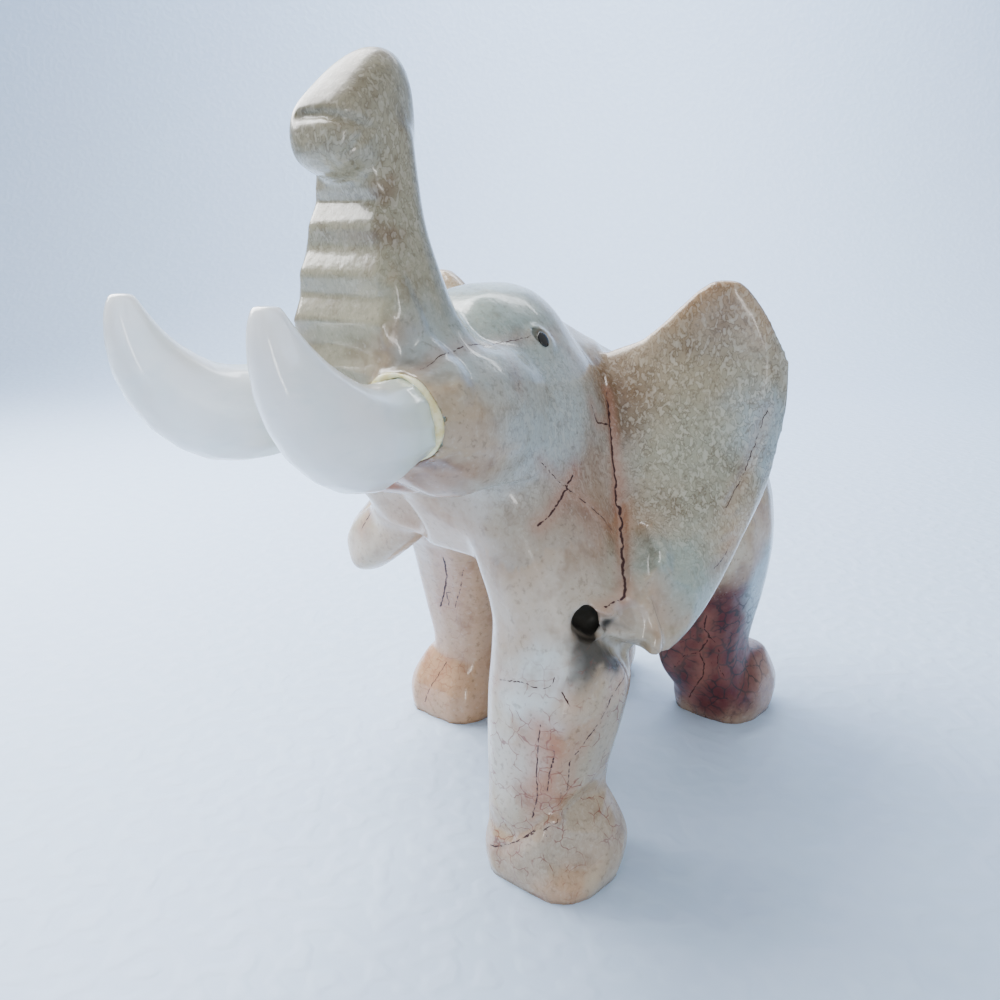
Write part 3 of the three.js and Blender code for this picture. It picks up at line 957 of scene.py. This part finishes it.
def laid(piece: bpy.types.Object, path: Sequence[Point], step: float = 1.0) -> tuple[Point, ...]:
    """Lay a chain of points onto a mesh.

    Args:
        piece: The object.
        path: The chain's corners in millimetres.
        step: The longest stretch between two points laid down.

    Returns:
        The nearest places on the mesh, in order.
    """
    spots: list[Point] = []
    for start, end in zip(path, path[1:]):
        run = Vector(end) - Vector(start)
        count = max(1, math.ceil(run.length / step))
        spots += [tuple(Vector(start) + run * (k / count)) for k in range(count)]
    spots.append(path[-1])
    found = [piece.closest_point_on_mesh(at(spot))[1] for spot in spots]
    return tuple(tuple(value / MM - shift for value, shift in zip(place, FIGURE_SHIFT)) for place in found)


def swirled(points: np.ndarray, size: float, reach: float) -> np.ndarray:
    """Shift points by a smooth wave, so that round zones turn ragged.

    Args:
        points: The points in millimetres.
        size: The wave's length.
        reach: How far a point may move.

    Returns:
        The shifted points.
    """
    turns = points * (2 * math.pi / size)
    waves = [
        np.sin(turns[:, (k + 1) % 3] + 1.3 * k) + np.sin(1.7 * turns[:, (k + 2) % 3] + 2.1 * k)
        for k in range(3)
    ]
    return points + reach * 0.5 * np.stack(waves, axis=1)


def stored(piece: bpy.types.Object, name: str, kind: str, values: np.ndarray) -> None:
    """Store a value at each of the mesh's points.

    Args:
        piece: The object.
        name: The attribute's name.
        kind: Its type: FLOAT, FLOAT_VECTOR or FLOAT_COLOR.
        values: One row for each point.
    """
    layer = piece.data.attributes.new(name, kind, "POINT")
    key = {"FLOAT": "value", "FLOAT_VECTOR": "vector", "FLOAT_COLOR": "color"}[kind]
    layer.data.foreach_set(key, values.astype(np.float32).ravel())


def weighed(piece: bpy.types.Object, name: str, weights: np.ndarray) -> None:
    """Store weights as a vertex group, in even steps.

    Args:
        piece: The object.
        name: The group's name.
        weights: A weight from 0 to 1 for each point.
    """
    group = piece.vertex_groups.new(name=name)
    steps = np.round(np.clip(weights, 0, 1) * WEIGHT_STEPS).astype(int)
    for step in np.unique(steps):
        if step > 0:
            group.add(np.nonzero(steps == step)[0].tolist(), step / WEIGHT_STEPS, "REPLACE")


def relaxed(piece: bpy.types.Object, weights: np.ndarray, rounds: int) -> None:
    """Relax the skin by weight.

    Args:
        piece: The object.
        weights: A weight from 0 to 1 for each point.
        rounds: How often the skin is smoothed.
    """
    weighed(piece, "soft", weights)
    applied(piece, "SMOOTH", factor=0.5, iterations=rounds, vertex_group="soft")
    piece.vertex_groups.clear()


@dataclass(frozen=True)
class Pinch:
    """A place where the stone draws in towards an axis."""

    middle: Point
    along: Point
    reach: float
    share: float

    def draw_in(self, points: np.ndarray) -> np.ndarray:
        """Draw the points in.

        Args:
            points: The skin's points in millimetres.

        Returns:
            The moved points.
        """
        along = np.array(self.along) / np.linalg.norm(self.along)
        offset = points - self.middle
        across = offset - (offset @ along)[:, None] * along
        weight = self.share * fade(np.linalg.norm(offset, axis=1), self.reach)
        return points - across * weight[:, None]


@dataclass(frozen=True)
class Nudge:
    """A place where the stone sits a little further along."""

    middle: Point
    reach: float
    move: Point

    def shift(self, points: np.ndarray) -> np.ndarray:
        """Shift the points near the middle.

        Args:
            points: The skin's points in millimetres.

        Returns:
            The moved points.
        """
        weight = fade(distance(points, self.middle), self.reach)
        return points + weight[:, None] * np.array(self.move)


def seated(points: np.ndarray) -> np.ndarray:
    """Narrow the stone, the glue and the tusks where the tusks enter, and lift them off the jaw.

    Args:
        points: The points in millimetres.

    Returns:
        The moved points.
    """
    x, y, z = TUSK_BASE
    for side in Side:
        way = side.value
        points = Pinch((x * way, y, z), (0.0, 1.0, 0.0), SEAT_REACH, SEAT_SHARE).draw_in(points)
        points = Nudge((21.0 * way, -22.0, 80.0), LIFT_REACH, (-1.6 * way, 0.4, 2.8)).shift(points)
    return points


@dataclass(frozen=True)
class Stroke:
    """A groove or ridge cut along a path. A positive lift raises a ridge."""

    path: tuple[Point, ...]
    width: float
    lift: float


@dataclass(frozen=True)
class Facet:
    """A flat ground on the stone. What stands above the plane near its middle goes.

    A level facet also fills what lies below it.
    """

    middle: Point
    normal: Point
    reach: float
    cut: float = 0.0
    level: bool = False

    def grind(self, points: np.ndarray) -> np.ndarray:
        """Flatten the points near the middle.

        Args:
            points: The skin's points in millimetres.

        Returns:
            The moved points.
        """
        normal = np.array(self.normal) / np.linalg.norm(self.normal)
        near = np.clip(fade(distance(points, self.middle), self.reach * 1.5) * 2.2, 0, 1)
        above = (points - self.middle) @ normal + self.cut
        if not self.level:
            above = np.clip(above, 0, None)
        return points - normal * (near * above)[:, None]


@dataclass(frozen=True)
class Ledge:
    """An edge that the stone falls back from on one side."""

    path: tuple[Point, ...]
    falls: Point
    depth: float
    reach: float

    def cut(self, points: np.ndarray, normals: np.ndarray) -> np.ndarray:
        """Push the skin in on the falling side, most at the edge.

        Args:
            points: The skin's points in millimetres.
            normals: Its normals.

        Returns:
            The moved points.
        """
        offsets, away = offsets_from(points, self.path)
        falls = np.array(self.falls) / np.linalg.norm(self.falls)
        beside = np.clip(offsets @ falls / 0.7, 0, 1)
        weight = beside * fade(away, self.reach)
        return points - normals * (weight * self.depth)[:, None]


@dataclass
class StoneElephant:
    """The carved body, from an even skin over the solid."""

    voxel: float = 0.62
    most_triangles: int = 190000
    softening: int = 26
    blending: int = 70
    sharp: tuple[tuple[Point, float, float], ...] = (
        ((0, -22, 108), 22, 0.97),
        ((0, -20, 120), 14, 0.97),
        ((16, -23, 89.5), 13, 0.8),
        ((-16, -23, 89.5), 13, 0.8),
        ((0, -18, 78), 13, 0.75),
        ((15, 13.6, 100.8), 3.5, 0.9),
        ((-15, 13.6, 100.8), 3.5, 0.9),
        ((35.6, 2.5, 52), 6, 0.8),
        ((-36, 12, 48), 9, 0.85),
        ((10, -16, 77), 12, 0.95),
        ((-10, -16, 77), 12, 0.95),
        ((40, 8, 49), 10, 0.75),
        ((29, -4, 10), 11, 0.5),
        ((36, 5, 10), 10, 0.5),
        ((20, 32, 92), 6, 0.6),
    )
    blends: tuple[tuple[Point, float], ...] = (
        ((24, 2, 74), 24),
        ((27, -4, 86), 11),
        ((20, 24, 84), 18),
        ((16, 2, 98), 12),
        ((10, -2, 108), 12),
        ((0, 6, 108), 10),
        ((0, -4, 66), 18),
        ((14, 70, 56), 20),
        ((24, 42, 64), 14),
        ((0, 98, 74), 10),
        ((31, -3, 60), 14),
        ((33, -5, 47), 11),
    )
    strokes: tuple[Stroke, ...] = (
        Stroke(((-3, -26.2, 138.4), (8.3, -21.7, 136.5)), 1.5, -1.1),
        Stroke(((8.4, -20.7, 136.1), (7.7, -22.9, 133.9), (6.2, -24.1, 132)), 1.1, -0.6),
        Stroke(((12.2, -19.2, 112.1), (13.5, -17.5, 107.2), (15.8, -16.2, 102.3)), 3, 1.1),
        Stroke(((17.9, -15.6, 100.9), (21.6, -16, 98.8), (24.7, -17.6, 95.8)), 3.6, 1),
        Stroke(EAR_LINE, 1.6, -0.6),
        Stroke(((35.3, 22.2, 65.3), (37.5, 21.7, 63.7), (39.3, 20.7, 61.8), (41.7, 16.8, 58.6),
                (43.9, 12.6, 54.6), (43.1, 13.7, 47)), 2.8, 2),
        Stroke(SEAM, 1.5, -0.7),
        Stroke(((36.2, -4.7, 15.9), (37.7, -0.9, 16.2), (38, 4, 15.4)), 1.8, 0.6),
        Stroke(((24.2, -7.9, 7.2), (28.4, -8.4, 10), (31.4, -7.7, 13.1), (34.4, -6.2, 15.1)), 2, -0.7),
    )
    ledges: tuple[Ledge, ...] = (
        Ledge(((4, -21.5, 75.6), (9, -19.5, 75.2), (12, -13, 75.6), (14.5, -7.5, 76.4), (19, -5, 78)),
              (0, 0.1, -1), 3.6, 11),
        Ledge(((-4, -21.5, 75.6), (-9, -19.5, 75.2), (-12, -13, 75.6), (-14.5, -7.5, 76.4)),
              (0, 0.1, -1), 3.6, 11),
        Ledge(((37.6, 6, 51.6), (39.2, 9.5, 48.2), (40.2, 12.5, 46.2), (42.4, 15.2, 45)),
              (-0.5, -0.4, -0.75), 3, 6.5),
        Ledge(((22, -9.5, 9), (26.9, -8.3, 9.4), (31.4, -7.7, 13.1), (34.5, -6, 16.1), (36.3, -4.3, 16.2),
               (38.5, 4, 16.4)), (0, 0, 1), 1.7, 7),
    )
    facets: tuple[Facet, ...] = (
        Facet((38.4, -2.2, 10.4), (0.8, -0.58, 0.12), 6.6, 1.2),
        Facet((37.2, 1.5, 15.6), (0.62, -0.3, 0.72), 4.6, 0.9),
        Facet((42, 8, 8), (0.95, 0.12, 0.28), 5, 0.9),
        Facet((26, -8.8, 5.5), (-0.1, -1, 0.12), 4, 0.7),
        Facet((44.5, 20, 56), (0.86, -0.5, 0.1), 9, 0.9),
        Facet((39.6, 9, 51.4), (0.74, -0.64, 0.2), 5, 0.7),
        Facet((18.4, 31.6, 91), (-0.1, -0.75, 0.65), 3.4, 0.4),
        Facet((16.1, 13.6, 100.9), (0.84, -0.06, 0.54), 3, 0, True),
        Facet((-16.1, 13.6, 100.9), (-0.84, -0.06, 0.54), 3, 0, True),
    )
    nudges: tuple[Nudge, ...] = (
        Nudge((35.5, 3, 52.5), 9, (-0.3, -0.2, 1.6)),
        Nudge((-13, -5, 66.5), 16, (4.6, 8, 0.8)),
        Nudge((14, 71, 15), 13, (-1.5, -1.2, 0)),
    )
    web_middle: Point = (-25, 11.8, 57)
    web_size: Point = (16, 6.6, 4.2)
    web_corners: float = 0.62
    finish: OnyxFinish = field(default_factory=OnyxFinish)

    def build(self) -> bpy.types.Object:
        """Make and dress the body.

        Returns:
            The body.
        """
        piece = copied("elephant_body", "onyx_body")
        self._web(piece)
        applied(piece, "REMESH", mode="VOXEL", voxel_size=self.voxel * MM, use_smooth_shade=True)
        soles = points_of(piece)[:, 2] < self.voxel
        self._soften(piece)
        self._blend(piece)
        self._carve(piece)
        self._settle(piece, soles)
        self._thin_out(piece)
        self._mark(piece)
        dressed(piece, self.finish.make())
        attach(piece, "root")
        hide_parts("elephant_body")
        return piece

    def _web(self, piece: bpy.types.Object) -> None:
        """Widen the right ear's lobe with a flat web towards the chest.

        Args:
            piece: The body.
        """
        bpy.ops.object.select_all(action="DESELECT")
        run = Vector((-0.8, 0.03, -0.6)).normalized()
        face = Vector((-0.25, -0.95, 0.12)).normalized()
        side = face.cross(run).normalized()
        bpy.ops.mesh.primitive_uv_sphere_add(segments=32, ring_count=20, radius=MM, location=at(self.web_middle))
        web = just_added("web")
        long, wide, thick = self.web_size
        offset = points_of(web) - self.web_middle
        offset = np.sign(offset) * np.abs(offset) ** self.web_corners
        axes = np.array([run, side, run.cross(side)])
        put_points(web, self.web_middle + (offset * (long, wide, thick)) @ axes)
        bpy.ops.object.select_all(action="DESELECT")
        web.select_set(True)
        piece.select_set(True)
        bpy.context.view_layer.objects.active = piece
        bpy.ops.object.join()

    def _soften(self, piece: bpy.types.Object) -> None:
        """Polish the whole skin, less where the carving is crisp.

        Args:
            piece: The body.
        """
        points = points_of(piece)
        weights = np.ones(len(points))
        weights = self._held(points, weights, 1.4)
        weights = np.minimum(weights, 1 - 0.75 * self._ears(points, 38))
        relaxed(piece, weights * (1 - self._rims(points)), self.softening)

    def _held(self, points: np.ndarray, weights: np.ndarray, spread: float) -> np.ndarray:
        """Hold the skin where the carving is crisp.

        Args:
            points: The skin's points in millimetres.
            weights: How much each point is smoothed.
            spread: How far past its radius a crisp place holds.

        Returns:
            The lowered weights.
        """
        for middle, radius, hold in self.sharp:
            near = fade(distance(points, middle), radius * spread)
            weights = np.minimum(weights, 1 - hold * np.clip(near * HOLD_SPREAD, 0, 1))
        return weights

    @staticmethod
    def _ears(points: np.ndarray, inner: float) -> np.ndarray:
        """Mark the skin of the ears.

        Args:
            points: The skin's points in millimetres.
            inner: How far from the middle the ears begin.

        Returns:
            A weight that is 1 on an ear.
        """
        return np.clip((np.abs(points[:, 0]) - inner) / EAR_FADE, 0, 1) * (points[:, 2] > EAR_BOTTOM)

    @staticmethod
    def _rims(points: np.ndarray) -> np.ndarray:
        """Mark the stone's rims round the tusks.

        Args:
            points: The skin's points in millimetres.

        Returns:
            A weight that is 1 at a rim.
        """
        x, y, z = TUSK_BASE
        across = np.hypot(np.abs(points[:, 0]) - x, points[:, 2] - z) - TUSK_RADIUS
        return np.clip(1.6 * fade(np.hypot(across, points[:, 1] - y), 2.6), 0, 1)

    def _blend(self, piece: bpy.types.Object) -> None:
        """Let the head, chest, legs and neck run into each other.

        Args:
            piece: The body.
        """
        points = points_of(piece)
        folded = points.copy()
        folded[:, 0] = np.abs(folded[:, 0])
        weights = np.zeros(len(points))
        for middle, radius in self.blends:
            weights = np.maximum(weights, fade(distance(folded, middle), radius))
        weights = np.clip(self._held(points, weights, 1.2) * 1.3, 0, 1)
        relaxed(piece, weights * (1 - self._ears(points, 34)) * (1 - self._rims(points)), self.blending)

    def _carve(self, piece: bpy.types.Object) -> None:
        """Nudge the forms, cut the strokes and ledges, and grind the facets.

        Args:
            piece: The body.
        """
        points = points_of(piece)
        for nudge in self.nudges:
            points = nudge.shift(points)
        put_points(piece, seated(points))
        points = points_of(piece)
        normals = normals_of(piece)
        for stroke in self.strokes:
            weight = fade(offsets_from(points, laid(piece, stroke.path))[1], stroke.width)
            points += normals * (weight * stroke.lift)[:, None]
        for ledge in self.ledges:
            points = ledge.cut(points, normals)
        for facet in self.facets:
            points = facet.grind(points)
        put_points(piece, points)
        relaxed(piece, np.ones(len(points)), 1)

    def _settle(self, piece: bpy.types.Object, soles: np.ndarray) -> None:
        """Stand the soles flat on the ground.

        Args:
            piece: The body.
            soles: Which of its points belong to a sole.
        """
        points = points_of(piece)
        points[soles, 2] = 0.0
        points[:, 2] = np.maximum(points[:, 2], 0.0)
        put_points(piece, points)

    def _mark(self, piece: bpy.types.Object) -> None:
        """Store on the mesh where the stone's cracks and colours lie.

        Args:
            piece: The body.
        """
        points = points_of(piece)
        nearest = np.full(len(points), np.inf)
        offsets = np.zeros_like(points)
        widths = np.ones(len(points))
        for crack in CRACKS:
            offset, away = offsets_from(points, laid(piece, crack.points))
            closer = away < nearest
            nearest[closer] = away[closer]
            offsets[closer] = offset[closer]
            widths[closer] = crack.width
        stored(piece, "crack_offset", "FLOAT_VECTOR", offsets)
        stored(piece, "crack_near", "FLOAT", nearest)
        stored(piece, "crack_halo", "FLOAT", fade(nearest, HALO_REACH) * np.clip(widths / HALO_WIDTH, 0, 1))
        stored(piece, "crack_width", "FLOAT", widths)
        drifted = swirled(swirled(swirled(points, 31.0, 2.4), 13.0, 1.4), 5.0, 0.8)
        colours = np.tile(np.array(CREAM), (len(points), 1))
        cover = np.zeros(len(points))
        for zone in ZONES:
            weight = zone.cover * zone.weight(drifted)
            colours += (np.array(zone.colour) - colours) * np.where(cover > 0, weight, weight > 0)[:, None]
            cover = cover + (1 - cover) * weight
        stored(piece, "zone_colour", "FLOAT_COLOR", colours)
        stored(piece, "zone_cover", "FLOAT", cover)
        for mask in MASKS:
            weight = np.max([zone.cover * zone.weight(drifted) for zone in mask.zones], axis=0)
            stored(piece, mask.name, "FLOAT", weight)

    def _thin_out(self, piece: bpy.types.Object) -> None:
        """Keep the piece below its most triangles.

        Args:
            piece: The body.
        """
        count = sum(len(face.vertices) - 2 for face in piece.data.polygons)
        if count > self.most_triangles:
            applied(piece, "DECIMATE", ratio=self.most_triangles / count)


@dataclass
class Tusk:
    """A milky tusk and the glue round its base."""

    side: Side
    voxel: float = 0.5
    rounds: int = 24
    tip_reach: float = 16.0
    tip_pinch: float = 0.12
    ring_radius: float = TUSK_RADIUS + 0.2
    bead: float = 0.62
    finish: MilkFinish = field(default_factory=MilkFinish)
    glue: GlueFinish = field(default_factory=GlueFinish)

    def build(self) -> None:
        """Make the tusk and its glue."""
        node = f"tusk_{self.side.word}"
        piece = copied(node, f"milky_{node}")
        applied(piece, "REMESH", mode="VOXEL", voxel_size=self.voxel * MM, use_smooth_shade=True)
        points = points_of(piece)
        relaxed(piece, np.clip((TUSK_BASE[1] - 3 - points[:, 1]) / 5, 0, 1), self.rounds)
        self._shape(piece)
        dressed(piece, self.finish.make())
        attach(piece, "root")
        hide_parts(node)
        self._bead()

    def _shape(self, piece: bpy.types.Object) -> None:
        """Narrow the tip and the base.

        Args:
            piece: The tusk.
        """
        points = points_of(piece)
        tip = points[points[:, 2].argmax()]
        near = distance(points, tip) < self.tip_reach * 0.5
        along = tip - points[near].mean(axis=0)
        points = Pinch(tuple(tip), tuple(along), self.tip_reach, self.tip_pinch).draw_in(points)
        put_points(piece, seated(points))

    def _bead(self) -> None:
        """Run an uneven bead of glue round the tusk where it enters the stone."""
        bpy.ops.object.select_all(action="DESELECT")
        x, y, z = TUSK_BASE
        bpy.ops.mesh.primitive_torus_add(
            major_segments=96, minor_segments=12, location=at((x * self.side.value, y + 0.05, z)),
            rotation=(math.pi / 2, 0, 0), major_radius=self.ring_radius * MM, minor_radius=self.bead * MM)
        piece = just_added(f"glue_bead_{self.side.word}")
        points = points_of(piece)
        turn = np.arctan2(points[:, 2] - z, points[:, 0] - x * self.side.value)
        swell = 1 + 0.35 * np.sin(3 * turn + 0.6) + 0.2 * np.sin(7 * turn)
        normals = normals_of(piece)
        points = points + normals * ((swell - 1) * self.bead)[:, None]
        put_points(piece, seated(points))
        dressed(piece, self.glue.make())
        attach(piece, "root")


@dataclass
class EyeDot:
    """A black dot let into the head."""

    side: Side
    radius: float = 1.6
    width: float = 0.76
    bulge: float = 0.3
    faces: Point = (0.84, -0.06, 0.54)
    finish: DotFinish = field(default_factory=DotFinish)

    def build(self) -> None:
        """Make the dot."""
        node = f"eye_{self.side.word}"
        x, y, z = EYE_PLACE
        facing = Vector((self.faces[0] * self.side.value, self.faces[1], self.faces[2]))
        place = Vector(((x + 0.75) * self.side.value, y, z + 0.15))
        bpy.ops.object.select_all(action="DESELECT")
        bpy.ops.mesh.primitive_uv_sphere_add(
            segments=40, ring_count=20, radius=self.radius * MM, location=at(tuple(place)),
            rotation=facing.to_track_quat("Z", "Y").to_euler())
        piece = bpy.context.active_object
        piece.name = f"black_{node}"
        piece.scale = (self.width, 1.0, self.bulge)
        bpy.ops.object.transform_apply(location=True, rotation=True, scale=True)
        dressed(piece, self.finish.make())
        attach(piece, "root")
        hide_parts(node)


@dataclass
class Studio:
    """The board, the lights and the camera."""

    eye: Point = (133.0, -133.0, 121.5)
    azimuth: float = 41.0
    pitch: float = 15.4
    lens: float = 36.0
    board: float = 4.0
    wall_distance: float = 0.9
    wall_height: float = 1.6
    wall_curve: float = 0.35
    finish: BoardFinish = field(default_factory=BoardFinish)

    def build(self) -> None:
        """Set up the studio."""
        self._camera()
        self._board()
        self._lights()

    def _camera(self) -> None:
        """Stand the camera where the photograph was taken."""
        data = bpy.data.cameras.new("camera")
        data.lens = self.lens
        data.sensor_width = 36.0
        data.clip_start = 0.01
        camera = bpy.data.objects.new("camera", data)
        bpy.context.scene.collection.objects.link(camera)
        camera.location = at(self.eye)
        camera.rotation_euler = (math.radians(90 - self.pitch), 0, math.radians(self.azimuth))
        bpy.context.scene.camera = camera

    def _board(self) -> None:
        """Lay the board and curve it up behind the figurine."""
        bpy.ops.object.select_all(action="DESELECT")
        bpy.ops.mesh.primitive_plane_add(size=self.board, location=(0, 0, 0))
        floor = bpy.context.active_object
        floor.name = "board"
        bpy.ops.object.mode_set(mode="EDIT")
        bpy.ops.mesh.select_all(action="DESELECT")
        bpy.ops.mesh.select_mode(type="EDGE")
        bpy.ops.object.mode_set(mode="OBJECT")
        for edge in floor.data.edges:
            edge.select = all(floor.data.vertices[k].co.y > 0 for k in edge.vertices)
        bpy.ops.object.mode_set(mode="EDIT")
        bpy.ops.mesh.extrude_region_move(TRANSFORM_OT_translate={"value": (0, 0, self.wall_height)})
        bpy.ops.object.mode_set(mode="OBJECT")
        for edge in floor.data.edges:
            ends = [floor.data.vertices[k].co for k in edge.vertices]
            edge.select = all(end.y > 0 and end.z < 0.01 for end in ends)
        bpy.ops.object.mode_set(mode="EDIT")
        bpy.ops.mesh.bevel(offset=self.wall_curve, segments=14)
        bpy.ops.object.mode_set(mode="OBJECT")
        turn = math.radians(self.azimuth)
        for corner in floor.data.vertices:
            x, y, z = corner.co
            y -= self.board / 2 - self.wall_distance
            corner.co = (x * math.cos(turn) - y * math.sin(turn), x * math.sin(turn) + y * math.cos(turn), z)
        dressed(floor, self.finish.make())

    def _lights(self) -> None:
        """Hang the soft lights."""
        world = bpy.data.worlds.new("soft_day")
        bpy.context.scene.world = world
        world.use_nodes = True
        background = world.node_tree.nodes["Background"]
        background.inputs["Color"].default_value = BACKGROUND
        background.inputs["Strength"].default_value = 0.92
        self._panel("window", (-330.0, -10.0, 400.0), 0.42, 0.42, 8.0, (1.0, 1.0, 1.0))
        self._panel("strip", (310.0, -330.0, 105.0), 0.04, 0.2, 0.45, (1.0, 0.98, 0.95))
        self._panel("wall_wash", (-250.0, 480.0, 620.0), 0.5, 0.5, 9.0, (0.92, 0.96, 1.0), (-560.0, 720.0, 120.0))

    def _panel(
        self,
        name: str,
        place: Point,
        width: float,
        height: float,
        power: float,
        colour: Point,
        aim: Point = (0.0, 20.0, 75.0),
    ) -> None:
        """Hang one panel.

        Args:
            name: The panel's name.
            place: Its place in the figurine's frame, in millimetres.
            width: Its width in metres.
            height: Its height in metres.
            power: Its power in watts.
            colour: Its colour.
            aim: The point that it faces.
        """
        data = bpy.data.lights.new(name, "AREA")
        data.shape = "RECTANGLE"
        data.size = width
        data.size_y = height
        data.energy = power
        data.color = colour
        lamp = bpy.data.objects.new(name, data)
        bpy.context.scene.collection.objects.link(lamp)
        lamp.location = at(place)
        toward = at(aim) - lamp.location
        lamp.rotation_euler = toward.to_track_quat("-Z", "Y").to_euler()


def main() -> None:
    """Build the figurine and its studio."""
    logging.basicConfig(level=logging.INFO, format="%(name)s: %(message)s")
    Studio().build()
    body = StoneElephant().build()
    LOG.info("body: %d faces", len(body.data.polygons))
    for side in Side:
        Tusk(side).build()
        EyeDot(side).build()
        LOG.info("%s tusk and eye", side.word)


if __name__ == "__main__":
    main()
